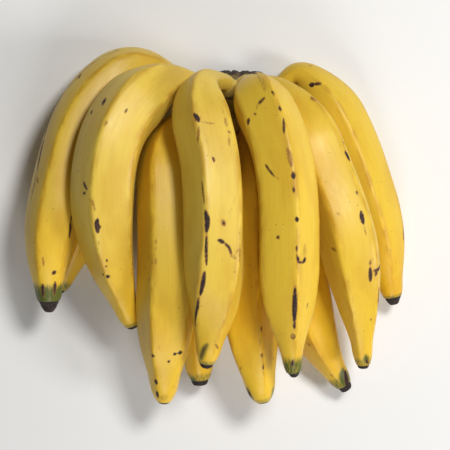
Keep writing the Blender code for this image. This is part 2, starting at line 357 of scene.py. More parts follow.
def skin_tree():
    tree = bpy.data.node_groups.new("grow_skin", "GeometryNodeTree")
    face = tree.interface
    face.new_socket("Spine", in_out="INPUT", socket_type="NodeSocketGeometry")
    face.new_socket("Points Around", in_out="INPUT", socket_type="NodeSocketInt")
    for label in ("Flatness", "Ridge Sharpness", "Dents", "Dent Size", "Ripples", "Crinkle", "Seed"):
        face.new_socket(label, in_out="INPUT", socket_type="NodeSocketFloat")
    face.new_socket("Peel", in_out="INPUT", socket_type="NodeSocketMaterial")
    face.new_socket("Skin", in_out="OUTPUT", socket_type="NodeSocketGeometry")
    given = add(tree, "NodeGroupInput").outputs
    spine = given["Spine"]

    rings = add(tree, "GeometryNodeAttributeDomainSize", (spine,), component="MESH").outputs[0]
    columns = calc(tree, "ADD", given["Points Around"], 1.0)
    grid = add(tree, "GeometryNodeMeshGrid", (1.0, 1.0, rings, columns)).outputs[0]
    index = add(tree, "GeometryNodeInputIndex").outputs[0]
    ring = calc(tree, "FLOOR", calc(tree, "DIVIDE", calc(tree, "ADD", index, 0.5), columns))
    spot = calc(tree, "SUBTRACT", index, calc(tree, "MULTIPLY", ring, columns))
    share_around = calc(tree, "DIVIDE", spot, given["Points Around"])
    turn = calc(tree, "MULTIPLY", share_around, -2 * math.pi)

    def at_ring(key, kind="FLOAT"):
        if key == "position":
            value = add(tree, "GeometryNodeInputPosition").outputs[0]
        else:
            value = add(tree, "GeometryNodeInputNamedAttribute", (key,), data_type=kind).outputs[0]
        sample = add(tree, "GeometryNodeSampleIndex", data_type=kind, domain="POINT")
        for socket, source in zip(("Geometry", "Value", "Index"), (spine, value, ring)):
            tree.links.new(source, sample.inputs[socket])
        return sample.outputs[0]

    powers = 0.0
    for k in range(FACES):
        off = calc(tree, "SUBTRACT", turn, (k + 0.5) * 2 * math.pi / FACES)
        facing = calc(tree, "MAXIMUM", calc(tree, "COSINE", off), 0.0)
        powers = calc(tree, "ADD", powers, calc(tree, "POWER", facing, given["Ridge Sharpness"]))
    exponent = calc(tree, "DIVIDE", -1.0, given["Ridge Sharpness"])
    pentagon = calc(tree, "POWER", powers, exponent)
    edge = calc(tree, "MULTIPLY", given["Flatness"], at_ring("ridged"))
    section = calc(tree, "MULTIPLY_ADD", edge, calc(tree, "SUBTRACT", pentagon, 1.0), 1.0)

    lean = calc(tree, "ADD", turn, at_ring("lean"))
    outward = times(tree, at_ring("out", "FLOAT_VECTOR"), calc(tree, "COSINE", lean))
    sideward = times(tree, at_ring("flank", "FLOAT_VECTOR"), calc(tree, "SINE", lean))
    away = vector(tree, "ADD", outward, sideward)
    radius = calc(tree, "MULTIPLY", at_ring("radius"), section)
    middle = at_ring("position", "FLOAT_VECTOR")
    smooth = vector(tree, "ADD", middle, times(tree, away, radius))

    def noise(size, place, detail):
        scale = calc(tree, "DIVIDE", 1.0, size)
        values = (place, given["Seed"], scale, detail)
        return add(tree, "ShaderNodeTexNoise", values, noise_dimensions="4D").outputs[0]

    # Dents are longer along the fruit than across it, so their place is squeezed lengthwise
    across = calc(tree, "MULTIPLY", radius, calc(tree, "COSINE", turn))
    beside = calc(tree, "MULTIPLY", radius, calc(tree, "SINE", turn))
    place = at_ring("place")
    squeezed = calc(tree, "MULTIPLY", place, 0.45 * MM)
    unrolled = add(tree, "ShaderNodeCombineXYZ", (across, beside, squeezed)).outputs[0]
    dents = calc(tree, "MULTIPLY", noise(given["Dent Size"], unrolled, 1.0), given["Dents"])
    small = calc(tree, "DIVIDE", given["Dent Size"], 4.5)
    ripples = calc(tree, "MULTIPLY", noise(small, unrolled, 2.0), given["Ripples"])
    fine = calc(tree, "DIVIDE", given["Dent Size"], 14.0)
    rough = calc(tree, "SUBTRACT", noise(fine, smooth, 3.0), 0.55)
    dry = at_ring("dry")
    crinkle = calc(tree, "MULTIPLY", calc(tree, "MULTIPLY", rough, given["Crinkle"]), dry)
    depth = calc(tree, "SUBTRACT", crinkle, calc(tree, "ADD", dents, ripples))
    worn = vector(tree, "ADD", smooth, times(tree, away, calc(tree, "MULTIPLY", depth, at_ring("open"))))
    flat = add(tree, "ShaderNodeSeparateXYZ", (worn,)).outputs
    height = calc(tree, "MAXIMUM", flat[2], 0.0)
    final = add(tree, "ShaderNodeCombineXYZ", (flat[0], flat[1], height)).outputs[0]

    skin = add(tree, "GeometryNodeSetPosition", (grid, None, final)).outputs[0]
    ridge_line = calc(tree, "MULTIPLY_ADD", calc(tree, "COSINE", calc(tree, "MULTIPLY", turn, FACES)), 0.5, 0.5)
    ridge = calc(tree, "MULTIPLY", calc(tree, "POWER", ridge_line, 9.0), at_ring("ridged"))
    unrolled_mm = times(tree, unrolled, 1.0 / MM)
    in_mm = add(tree, "ShaderNodeSeparateXYZ", (unrolled_mm,)).outputs
    peel_place = add(tree, "ShaderNodeCombineXYZ", (in_mm[0], in_mm[1], place)).outputs[0]
    stored = {"peel_place": peel_place, "share": at_ring("share"), "dry": dry, "ridge": ridge, "leaf": at_ring("leaf")}
    for key, value in stored.items():
        kind = "FLOAT_VECTOR" if key == "peel_place" else "FLOAT"
        node = add(tree, "GeometryNodeStoreNamedAttribute", (skin, None, key, value), data_type=kind)
        skin = node.outputs[0]
    skin = add(tree, "GeometryNodeMergeByDistance", (skin, None, 2e-6)).outputs[0]
    skin = add(tree, "GeometryNodeSetShadeSmooth", (skin,)).outputs[0]
    skin = add(tree, "GeometryNodeRealizeInstances", (skin,)).outputs[0]
    skin = add(tree, "GeometryNodeSetMaterial", (skin, None, given["Peel"])).outputs[0]
    add(tree, "NodeGroupOutput", (skin,))
    return tree


SKIN_TREE = skin_tree()
print("nodes in the skin tree:", len(SKIN_TREE.nodes))

# %% [markdown]
# ## The fruits
# Each spine goes through the tree once. The result is turned into a plain mesh and the modifier is
# taken off, so what is left is an ordinary object that sits at the origin.

# %% Fruits
POINTS_AROUND = 150
FLATNESS = 0.75
RIDGE_SHARPNESS = 17.0
DENTS = 0.9 * MM
DENT_SIZE = 34.0 * MM
RIPPLES = 0.16 * MM
CRINKLE = 1.3 * MM
FIRST_SEED = 20.0


def plain_mesh(owner, name):
    """The evaluated object's mesh under a name of its own; the modifiers come off."""
    scene_now = bpy.context.evaluated_depsgraph_get()
    mesh = bpy.data.meshes.new_from_object(owner.evaluated_get(scene_now))
    owner.modifiers.clear()
    mesh.name = name
    return mesh


def grow(name, seed, finish):
    fruit = bpy.data.objects.new(name + "_skin", spine_mesh(name))
    bpy.context.scene.collection.objects.link(fruit)
    growth = fruit.modifiers.new("grow", "NODES")
    growth.node_group = SKIN_TREE
    ids = socket_ids(SKIN_TREE)
    growth[ids["Points Around"]] = POINTS_AROUND
    growth[ids["Flatness"]] = FINGERS[name].get("flat", FLATNESS)
    growth[ids["Ridge Sharpness"]] = RIDGE_SHARPNESS
    growth[ids["Dents"]] = DENTS
    growth[ids["Dent Size"]] = DENT_SIZE
    growth[ids["Ripples"]] = RIPPLES
    growth[ids["Crinkle"]] = CRINKLE
    growth[ids["Seed"]] = seed
    growth[ids["Peel"]] = finish
    fruit.data = plain_mesh(fruit, name + "_skin")
    return fruit


# %% [markdown]
# ## Marks on the peel
# Ripe plantains carry black scars where a ridge has rubbed, brown scuffs, and some green left at the
# tips. They could be painted by hand on a texture. Here each mark is a stroke on the unrolled
# skin: its width in mm, how strong it is, and the points it passes, each with its place along the
# fruit in mm and its turn from the main ridge in degrees. The marks were read off the photo by eye,
# and a separate script worked out their places on the skin. How deep a point of the skin lies inside
# a stroke is stored on the mesh, and the peel material frays the edges.

# %% Strokes
MARKS = {
    "finger_outer_1": [
        ("scuff", 2.0, 0.8, [(55, 34), (61, 40), (67, 28)]),
        ("scar", 1.6, 0.8, [(56, 34), (59, 34)]),
        ("scuff", 2.2, 0.8, [(68, 34), (76, 24), (84, 18)]),
        ("scar", 2.6, 0.9, [(84, 24), (87, 34)]),
        ("scuff", 2.2, 0.85, [(86, 26), (93, 16), (100, 10)]),
        ("scar", 2.0, 0.9, [(99, 8), (104, 4), (111, 4)]),
        ("scuff", 3.4, 0.7, [(101, 14), (112, 6), (125, 12)]),
        ("scar", 2.4, 1.0, [(111, 4), (120, 4), (132, 16)]),
        ("scuff", 3.6, 0.8, [(126, 14), (137, 12), (149, 22), (158, 30)]),
        ("scar", 2.4, 1.0, [(133, 18), (142, 20), (150, 24), (157, 28)]),
        ("scuff", 2.4, 0.9, [(157, 28), (168, 30), (179, 32)]),
        ("scar", 1.2, 0.7, [(166, 34), (175, 32)]),
        ("scuff", 1.8, 0.6, [(179, 30), (193, 32), (206, 34)]),
        ("scuff", 2.6, 0.45, [(61, 68), (64, 66), (67, 68)]),
        ("scuff", 2.6, 0.4, [(62, 82), (65, 82), (69, 84)]),
        ("scar", 1.8, 0.95, [(174, 138), (182, 142), (190, 142)]),
        ("scar", 2.4, 1.0, [(190, 142), (196, 146), (202, 148)]),
        ("scuff", 1.8, 0.6, [(202, 146), (207, 146)]),
        ("scar", 1.2, 1.0, [(207, 62), (207, 64)]),
        ("scar", 3.2, 0.8, [(229, 114), (227, 126)]),
        ("scar", 2.6, 0.9, [(237, 82), (242, 78), (247, 78)]),
        ("scar", 3.0, 0.75, [(235, 126), (241, 128), (246, 126)]),
    ],
    "finger_outer_2": [
        ("scuff", 2.4, 0.7, [(50, -44), (54, -44), (57, -48)]),
        ("scar", 4.2, 0.75, [(81, -28), (85, -22)]),
        ("scuff", 6.0, 0.6, [(81, -28), (86, -20)]),
        ("scar", 1.8, 1.0, [(89, -54), (91, -48)]),
        ("scuff", 2.6, 0.8, [(94, 4), (98, 4)]),
        ("scuff", 1.5, 0.5, [(99, -8), (101, -4)]),
        ("scuff", 1.8, 0.5, [(105, 12), (106, 14)]),
        ("scuff", 1.2, 0.5, [(89, 30), (90, 30)]),
        ("scuff", 2.0, 0.6, [(103, -42), (107, -42)]),
        ("scar", 1.3, 0.8, [(126, -42), (127, -42)]),
        ("scuff", 2.0, 0.6, [(116, -16), (120, -16)]),
        ("scar", 2.2, 1.0, [(132, -22), (134, -16), (136, -10)]),
        ("scar", 1.8, 0.9, [(139, -22), (138, -14)]),
        ("scuff", 1.8, 0.9, [(141, -6), (143, 2), (146, 4), (149, 6)]),
        ("scar", 3.4, 1.0, [(154, 8), (157, 6), (161, 6), (164, 6)]),
        ("scar", 3.0, 0.9, [(159, 4), (160, 12)]),
        ("scuff", 1.5, 0.7, [(170, 6), (174, 2)]),
        ("scuff", 1.6, 0.4, [(172, 28), (174, 30)]),
        ("scar", 1.6, 0.9, [(186, 12), (188, 12)]),
        ("scar", 1.7, 0.9, [(191, 8), (192, 6)]),
        ("scar", 1.8, 0.9, [(197, -6), (199, -6)]),
        ("scar", 3.4, 1.0, [(199, 4), (201, 4)]),
        ("scuff", 1.2, 0.6, [(190, -24), (191, -24)]),
    ],
    "finger_outer_3": [
        ("scuff", 2.2, 0.4, [(43, 0), (50, 2), (55, 0)]),
        ("scar", 3.2, 1.0, [(64, 0), (67, 4), (70, 6)]),
        ("scuff", 6.0, 0.7, [(66, 2), (70, 6)]),
        ("scuff", 1.4, 0.9, [(70, 8), (72, 22), (73, 38)]),
        ("scuff", 1.0, 0.7, [(76, 10), (85, 12), (91, 14)]),
        ("scar", 2.0, 0.85, [(96, 18), (100, 20)]),
        ("scuff", 1.1, 0.6, [(100, 20), (103, 24), (106, 26)]),
        ("scuff", 1.8, 0.6, [(61, 60), (68, 60)]),
        ("scuff", 3.2, 0.7, [(69, 60), (76, 60)]),
        ("scar", 2.0, 0.6, [(79, 60), (81, 64)]),
        ("scuff", 2.4, 0.7, [(82, 60), (90, 56)]),
        ("scuff", 1.8, 0.5, [(92, 58), (100, 58)]),
        ("scuff", 1.4, 0.45, [(104, 60), (114, 60)]),
        ("scuff", 2.0, 0.55, [(120, 10), (121, 10)]),
        ("scuff", 2.4, 0.5, [(122, 60), (128, 56)]),
        ("scuff", 4.0, 0.4, [(130, 54), (134, 46)]),
        ("scuff", 5.0, 0.75, [(138, 32), (142, 38)]),
        ("scar", 2.6, 0.7, [(139, 34), (142, 38)]),
        ("scar", 2.6, 1.0, [(151, 26), (153, 40)]),
        ("scar", 2.0, 0.9, [(153, 40), (156, 50), (160, 56)]),
        ("scuff", 2.8, 0.8, [(158, 52), (162, 58), (164, 66)]),
        ("scuff", 2.4, 0.6, [(142, 70), (151, 70)]),
        ("scuff", 2.6, 0.8, [(153, 70), (166, 74)]),
        ("scar", 1.6, 0.6, [(158, 72), (167, 74)]),
        ("scuff", 1.0, 0.5, [(174, 78), (189, 112)]),
        ("scar", 1.2, 0.8, [(172, 66), (173, 66)]),
        ("scuff", 1.4, 0.4, [(178, 50), (187, 48)]),
        ("scar", 1.5, 0.8, [(112, -6), (120, -4), (128, -2)]),
        ("scar", 3.6, 1.0, [(132, 0), (138, 4), (146, 4)]),
        ("scar", 2.0, 0.95, [(147, 4), (158, 6), (168, 10)]),
        ("scar", 3.0, 1.0, [(172, 8), (181, 8), (189, 6)]),
        ("scar", 2.4, 1.0, [(191, 4), (200, 2), (215, -8)]),
        ("green", 3.4, 1.0, [(228, 38), (233, 26), (242, 12)]),
        ("scar", 1.3, 0.75, [(228, 36), (234, 24), (241, 12)]),
        ("scar", 1.6, 0.75, [(227, 68), (232, 94)]),
        ("scuff", 1.4, 0.3, [(207, 46), (215, 50)]),
    ],
    "finger_outer_4": [
        ("scar", 3.6, 0.95, [(4, -16), (19, -16), (28, -10)]),
        ("scuff", 5.0, 0.5, [(30, -12), (39, -10), (47, -14)]),
        ("scar", 2.0, 0.9, [(48, -2), (50, -2)]),
        ("scar", 2.4, 0.75, [(50, -18), (51, -28), (52, -36)]),
        ("scuff", 2.6, 0.6, [(51, -34), (55, -44)]),
        ("scuff", 2.6, 0.5, [(55, -24), (58, -24)]),
        ("scar", 2.2, 0.9, [(59, 0), (62, 0)]),
        ("scuff", 1.8, 0.5, [(57, 16), (57, 22)]),
        ("scar", 1.9, 0.9, [(67, 0), (71, -2), (76, -6)]),
        ("scar", 2.4, 0.85, [(57, -62), (61, -68)]),
        ("scuff", 2.0, 0.4, [(59, -38), (62, -40)]),
        ("scuff", 1.6, 0.5, [(82, 16), (84, 16)]),
        ("scuff", 4.6, 0.75, [(85, -6), (91, -4), (98, -4)]),
        ("scar", 3.4, 0.95, [(101, -2), (105, -2)]),
        ("scar", 1.8, 0.8, [(110, -4), (114, -4)]),
        ("scuff", 1.6, 0.5, [(119, -12), (121, -12)]),
        ("scar", 2.8, 1.0, [(130, -2), (133, 0)]),
        ("scar", 1.7, 0.9, [(92, -54), (97, -48), (102, -38)]),
        ("scuff", 1.8, 0.8, [(102, -38), (104, -28)]),
        ("scuff", 1.4, 0.45, [(98, -72), (103, -62)]),
        ("scuff", 1.4, 0.5, [(115, 40), (117, 40)]),
        ("scuff", 2.4, 0.5, [(136, -2), (147, -2)]),
        ("scuff", 5.4, 0.5, [(148, 18), (158, 16)]),
        ("scar", 1.8, 0.8, [(149, -2), (153, -2)]),
        ("scar", 2.0, 0.9, [(155, -2), (160, 2), (161, 12)]),
        ("scar", 3.0, 0.95, [(161, 12), (158, 20)]),
        ("scuff", 1.0, 0.6, [(144, 46), (145, 46)]),
        ("scuff", 4.4, 0.95, [(144, -40), (143, -36)]),
        ("scar", 2.6, 0.8, [(144, -40), (143, -36)]),
        ("scuff", 5.0, 0.6, [(175, -4), (186, -4), (208, -4)]),
        ("scar", 3.4, 1.0, [(178, -4), (190, -4), (203, -4)]),
        ("scar", 2.0, 0.9, [(203, -4), (209, -4)]),
        ("scar", 4.6, 0.5, [(213, -8), (218, -6)]),
        ("scar", 2.2, 0.5, [(191, 34), (196, 34)]),
        ("scar", 1.8, 0.95, [(236, -14), (241, -20)]),
        ("scuff", 1.2, 0.5, [(192, -40), (193, -40)]),
    ],
    "finger_outer_5": [
        ("scuff", 5.4, 0.65, [(36, -4), (40, -8)]),
        ("scar", 2.0, 0.6, [(36, -4), (39, -6)]),
        ("scuff", 1.4, 0.5, [(69, -48), (70, -48)]),
        ("scuff", 1.8, 0.75, [(99, -62), (101, -58)]),
        ("scar", 3.0, 0.95, [(82, -2), (86, 0), (90, 0)]),
        ("scuff", 1.8, 0.75, [(122, -60), (125, -56)]),
        ("scuff", 2.6, 0.35, [(104, 30), (112, 26), (118, 26)]),
        ("scar", 3.4, 1.0, [(126, -12), (130, -14), (134, -14)]),
        ("scuff", 2.0, 0.8, [(135, -14), (142, -14)]),
        ("scuff", 1.2, 0.4, [(131, -42), (133, -34)]),
        ("scuff", 2.0, 0.6, [(134, -108), (143, -106)]),
        ("scar", 2.2, 0.6, [(158, -14), (162, -16)]),
        ("scar", 3.0, 0.9, [(163, -16), (173, -18)]),
        ("scar", 2.4, 0.95, [(166, -10), (166, -2), (164, 28)]),
        ("scar", 2.2, 0.9, [(170, -6), (166, -4)]),
        ("scar", 2.4, 0.85, [(154, 26), (162, 18)]),
        ("scar", 2.8, 0.9, [(179, 4), (188, 6), (203, 26)]),
        ("scuff", 1.2, 0.5, [(177, -28), (183, -30)]),
        ("green", 5.0, 0.9, [(231, -32), (237, -24)]),
        ("scar", 3.0, 0.75, [(234, -30), (238, -10)]),
    ],
    "finger_outer_6": [
        ("scuff", 2.4, 0.9, [(24, -26), (26, -30)]),
        ("scar", 3.6, 1.0, [(33, -106), (35, -90)]),
        ("scar", 2.2, 1.0, [(35, -90), (38, -74)]),
        ("scuff", 2.0, 0.8, [(47, -6), (49, -8)]),
        ("scuff", 1.4, 0.5, [(129, 0), (139, 0), (148, 0)]),
        ("scar", 2.2, 0.9, [(152, 0), (161, 0), (171, -6)]),
        ("scuff", 1.2, 0.5, [(187, -24), (187, -20)]),
        ("scuff", 1.2, 0.5, [(200, -92), (201, -86)]),
    ],
    "finger_inner_1": [
    ],
    "finger_inner_2": [
        ("scuff", 1.8, 0.9, [(116, 6), (120, 6)]),
        ("scuff", 1.8, 0.9, [(122, 6), (124, 6)]),
        ("scuff", 1.9, 0.95, [(129, 6), (134, 6)]),
        ("scar", 1.0, 0.8, [(149, 38), (149, 38)]),
        ("scar", 1.0, 0.7, [(163, 52), (164, 54)]),
        ("scuff", 1.1, 0.5, [(32, -56), (32, -62)]),
        ("scar", 3.6, 0.8, [(198, 0), (200, 0)]),
        ("scuff", 1.6, 0.7, [(191, 14), (194, 14)]),
        ("scar", 2.6, 1.0, [(198, 50), (197, 56)]),
        ("scar", 2.8, 1.0, [(197, 60), (196, 68)]),
        ("scar", 2.0, 0.9, [(204, 36), (203, 42)]),
        ("scuff", 1.2, 0.5, [(214, 18), (215, 18)]),
        ("scar", 3.2, 1.0, [(219, -2), (223, -2)]),
        ("scar", 2.8, 0.9, [(229, -2), (235, -4)]),
        ("scuff", 7.0, 0.5, [(235, 8), (234, 48)]),
        ("scuff", 3.0, 0.5, [(223, 62), (227, 68)]),
    ],
    "finger_inner_3": [
        ("green", 7.0, 0.9, [(197, -50), (200, -14)]),
    ],
    "finger_inner_4": [
        ("scar", 3.0, 0.95, [(212, -70), (222, -94)]),
        ("green", 5.0, 0.9, [(210, -74), (222, -92)]),
        ("scar", 1.6, 0.8, [(162, 2), (166, 2)]),
        ("scuff", 1.6, 0.7, [(170, -2), (178, -4)]),
        ("scar", 1.6, 0.85, [(183, -2), (186, -2)]),
        ("scar", 1.5, 0.8, [(192, 0), (196, -2)]),
        ("scuff", 1.4, 0.7, [(197, -2), (201, -2)]),
        ("green", 7.0, 0.6, [(214, 40), (223, 56)]),
        ("scar", 1.2, 0.5, [(131, -14), (133, -12)]),
    ],
    "finger_inner_5": [
        ("scuff", 2.2, 0.9, [(176, -90), (179, -84)]),
        ("scar", 4.5, 0.95, [(210, -12), (217, -28), (225, -38)]),
        ("green", 8.0, 0.9, [(208, -22), (220, -56)]),
    ],
}
STROKE_SOFTNESS = {"scar": 1.0, "scuff": 1.4, "green": 4.0}
KINDS = tuple(STROKE_SOFTNESS)
HIDDEN_STROKES = 12
STROKE_END_WIDTH = 0.3


def wrapped(degrees):
    return (degrees + 180.0) % 360.0 - 180.0


def stroke(skin, width, softness, points):
    """From 0 outside a stroke to 1 well inside it, for every point of the skin."""
    along, turn, reach = skin
    mm_per_degree = reach * math.pi / 180
    lengths = [math.hypot(b[0] - a[0], (b[1] - a[1]) * 0.35) for a, b in zip(points[:-1], points[1:])]
    whole = sum(lengths) + 1e-6
    walked = 0.0
    nearest = np.full(len(along), 1e9)
    for (a0, t0), (a1, t1), length in zip(points[:-1], points[1:], lengths):
        step_along = a1 - a0
        step_around = (t1 - t0) * mm_per_degree
        off_along = along - a0
        off_around = wrapped(turn - t0) * mm_per_degree
        squared = step_along ** 2 + step_around ** 2 + 1e-6
        share = np.clip((off_along * step_along + off_around * step_around) / squared, 0.0, 1.0)
        gap = np.hypot(off_along - share * step_along, off_around - share * step_around)
        middle = np.sin(math.pi * (walked + share * length) / whole) ** 0.6
        half = width / 2 * (STROKE_END_WIDTH + (1 - STROKE_END_WIDTH) * middle)
        nearest = np.minimum(nearest, gap - half)
        walked += length
    return smoothstep(softness, -softness, nearest)


def points_of(mesh, key):
    values = np.zeros(len(mesh.vertices) * 3, np.float32)
    mesh.attributes[key].data.foreach_get("vector", values)
    return values.reshape(-1, 3).astype(float)


def normals_of(mesh):
    values = np.zeros(len(mesh.vertices) * 3, np.float32)
    mesh.vertex_normals.foreach_get("vector", values)
    return values.reshape(-1, 3)


def stray_strokes(rng, length):
    """Marks for the sides that no photo shows: scars and scuffs, most of them on ridges."""
    found = []
    for _ in range(HIDDEN_STROKES):
        kind = "scar" if rng.random() < 0.35 else "scuff"
        turn = 72.0 * rng.integers(0, 5) + rng.normal(0.0, 4.0)
        if rng.random() < 0.4:
            turn = rng.uniform(0.0, 360.0)
        start = rng.uniform(0.12, 0.92) * length
        run = rng.uniform(0.8, 4.0) + (rng.random() < 0.2) * rng.uniform(2.0, 14.0)
        bend = rng.normal(0.0, 6.0)
        width = rng.uniform(1.0, 2.8)
        found.append((kind, width, rng.uniform(0.5, 1.0), [(start, turn), (start + run, turn + bend)]))
    return found


def mark(fruit, name, seed):
    mesh = fruit.data
    unrolled = points_of(mesh, "peel_place")
    turn = np.degrees(np.arctan2(unrolled[:, 1], unrolled[:, 0]))
    skin = (unrolled[:, 2], turn, np.hypot(unrolled[:, 0], unrolled[:, 1]))
    layers = {kind: np.zeros(len(turn)) for kind in KINDS}
    for kind, width, strength, points in MARKS[name]:
        depth = strength * stroke(skin, width, STROKE_SOFTNESS[kind], points)
        layers[kind] = np.maximum(layers[kind], depth)
    hidden = smoothstep(0.25, -0.1, normals_of(mesh)[:, 2])
    rng = np.random.default_rng(seed)
    for kind, width, strength, points in stray_strokes(rng, skin[0].max()):
        depth = strength * stroke(skin, width, STROKE_SOFTNESS[kind], points) * hidden
        layers[kind] = np.maximum(layers[kind], depth)
    for kind, values in layers.items():
        stored = mesh.attributes.new(kind, "FLOAT", "POINT")
        stored.data.foreach_set("value", values.astype(np.float32))


print("strokes on the peels:", sum(len(strokes) for strokes in MARKS.values()))

# %% [markdown]
# ## Peel: what fades and frays on it
# All the fruits share the same effects: a colour that drifts from the stalk to the tip, clouds of
# ochre, fine lengthwise fibres, small specks, and the marks stored on the mesh. They go into one
# shader group with inputs for its colours, so every fruit can have colours of its own, which on the
# lower fruits carry painted shade. The group reads the unrolled skin and puts out a colour, a roughness and a height.

# %% Peel group


def mix(tree, factor, first, second, blend="MIX"):
    node = add(tree, "ShaderNodeMix", data_type="RGBA", blend_type=blend)
    for socket, value in zip((node.inputs[0], node.inputs[6], node.inputs[7]), (factor, first, second)):
        if isinstance(value, bpy.types.NodeSocket):
            tree.links.new(value, socket)
        else:
            socket.default_value = value if not isinstance(value, tuple) else (*value, 1.0)
    return node.outputs[2]


def read(tree, key):
    """A value stored on the mesh: its number, or its vector."""
    node = add(tree, "ShaderNodeAttribute", attribute_name=key)
    return node.outputs["Vector" if key == "peel_place" else "Fac"]


def noise(tree, place, scale, detail=2.0, roughness=0.5):
    values = (place, None, scale, detail, roughness)
    return add(tree, "ShaderNodeTexNoise", values).outputs[0]


def stretched(tree, place, across, along):
    node = add(tree, "ShaderNodeMapping", (place, None, None, (across, across, along)))
    return node.outputs[0]


SCAR = (0.018, 0.011, 0.012)
SCAR_BROWN = (0.075, 0.030, 0.022)
SCUFF = (0.30, 0.115, 0.022)
LEAF_GREEN = (0.105, 0.125, 0.016)
DRIED = (0.020, 0.013, 0.012)
DRIED_PALE = (0.105, 0.070, 0.050)
SPECK = (0.16, 0.075, 0.02)
OCHRE = (0.80, 0.66, 0.46)
RUBBED = (0.62, 0.42, 0.30)


def frayed(tree, key, shift, amount, low, high):
    """A stored mark with its edges broken up by shift, which is nought on average."""
    broken = calc(tree, "MULTIPLY_ADD", shift, amount, 1.1)
    return ramp(tree, calc(tree, "MULTIPLY", read(tree, key), broken), low, high)


def peel_group():
    tree = bpy.data.node_groups.new("ripe_peel", "ShaderNodeTree")
    for label in ("Shoulder", "Body", "Tip"):
        tree.interface.new_socket(label, in_out="INPUT", socket_type="NodeSocketColor")
    for label in ("Cloud", "Drift"):
        tree.interface.new_socket(label, in_out="INPUT", socket_type="NodeSocketFloat")
    tree.interface.new_socket("Colour", in_out="OUTPUT", socket_type="NodeSocketColor")
    for label in ("Roughness", "Height"):
        tree.interface.new_socket(label, in_out="OUTPUT", socket_type="NodeSocketFloat")
    given = add(tree, "NodeGroupInput").outputs
    place = vector(tree, "ADD", read(tree, "peel_place"), given["Drift"])
    share = read(tree, "share")
    dry = read(tree, "dry")

    # From shoulder to body to tip: on the lower fruits the darker shoulder and body colours are painted shade, and the
    # lighter tip colour is partly painted light.
    colour = mix(tree, ramp(tree, share, 0.08, 0.38), given["Shoulder"], given["Body"])
    colour = mix(tree, ramp(tree, share, 0.60, 0.97), colour, given["Tip"])
    clouds = ramp(tree, noise(tree, stretched(tree, place, 0.05, 0.022), 1.0, 3.0), 0.40, 0.68)
    colour = mix(tree, calc(tree, "MULTIPLY", clouds, given["Cloud"]), colour, OCHRE, "MULTIPLY")
    fibre_noise = noise(tree, stretched(tree, place, 0.9, 0.035), 1.0, 3.0, 0.6)
    fibres = ramp(tree, fibre_noise, 0.42, 0.72)
    colour = mix(tree, calc(tree, "MULTIPLY", fibres, 0.22), colour, OCHRE, "MULTIPLY")
    rub_noise = ramp(tree, noise(tree, stretched(tree, place, 0.25, 0.06), 1.0, 3.0), 0.40, 0.62)
    rubbed = calc(tree, "MULTIPLY", calc(tree, "MULTIPLY", read(tree, "ridge"), rub_noise), 0.55)
    colour = mix(tree, rubbed, colour, RUBBED, "MULTIPLY")

    cells = add(tree, "ShaderNodeTexVoronoi", (place, None, 0.30), feature="F1")
    dot = ramp(tree, cells.outputs["Distance"], 0.17, 0.07)
    chosen = add(tree, "ShaderNodeSeparateColor", (cells.outputs["Color"],)).outputs[0]
    specks = calc(tree, "MULTIPLY", dot, ramp(tree, chosen, 0.86, 0.97))
    colour = mix(tree, calc(tree, "MULTIPLY", specks, 0.8), colour, SPECK)

    fray = noise(tree, stretched(tree, place, 1.05, 0.55), 1.0, 4.0, 0.65)
    shift = calc(tree, "MULTIPLY_ADD", fray, 2.4, -1.2)
    veins = noise(tree, stretched(tree, place, 0.8, 0.12), 1.0, 3.0, 0.6)
    leaf = calc(tree, "MULTIPLY", read(tree, "leaf"), calc(tree, "MULTIPLY_ADD", veins, 2.0, 0.1))
    leaf = calc(tree, "MAXIMUM", ramp(tree, leaf, 0.10, 0.95), frayed(tree, "green", shift, 0.3, 0.10, 0.8))
    colour = mix(tree, leaf, colour, LEAF_GREEN)
    scuffed = frayed(tree, "scuff", shift, 1.1, 0.28, 0.95)
    colour = mix(tree, calc(tree, "MULTIPLY", scuffed, 0.85), colour, SCUFF)
    colour = mix(tree, calc(tree, "MULTIPLY", frayed(tree, "scar", shift, 0.9, 0.10, 0.6), 0.75), colour, SCUFF)
    scarred = frayed(tree, "scar", shift, 1.0, 0.40, 0.85)
    scar_colour = mix(tree, ramp(tree, veins, 0.4, 0.7), SCAR, SCAR_BROWN)
    colour = mix(tree, scarred, colour, scar_colour)
    husk = mix(tree, ramp(tree, noise(tree, place, 0.9, 4.0, 0.7), 0.45, 0.75), DRIED, DRIED_PALE)
    drying = calc(tree, "ADD", dry, calc(tree, "MULTIPLY", shift, 0.25))
    colour = mix(tree, ramp(tree, drying, 0.3, 0.6), colour, husk)

    harm = calc(tree, "MAXIMUM", calc(tree, "MAXIMUM", scarred, calc(tree, "MULTIPLY", scuffed, 0.5)), dry)
    sheen_noise = noise(tree, stretched(tree, place, 0.35, 0.12), 1.0, 3.0)
    base = calc(tree, "MULTIPLY_ADD", sheen_noise, 0.22, 0.31)
    rough = calc(tree, "MULTIPLY_ADD", harm, 0.34, base)
    pores = noise(tree, place, 1.6, 2.0)
    relief = calc(tree, "ADD", calc(tree, "MULTIPLY", fibre_noise, 0.10), calc(tree, "MULTIPLY", pores, 0.035))
    relief = calc(tree, "MULTIPLY_ADD", scarred, -0.10, relief)
    husk_relief = calc(tree, "MULTIPLY", calc(tree, "MULTIPLY", noise(tree, place, 0.8, 5.0, 0.7), dry), 0.6)
    add(tree, "NodeGroupOutput", (colour, rough, calc(tree, "ADD", relief, husk_relief)))
    return tree


PEEL_GROUP = peel_group()
print("nodes in the peel group:", len(PEEL_GROUP.nodes))
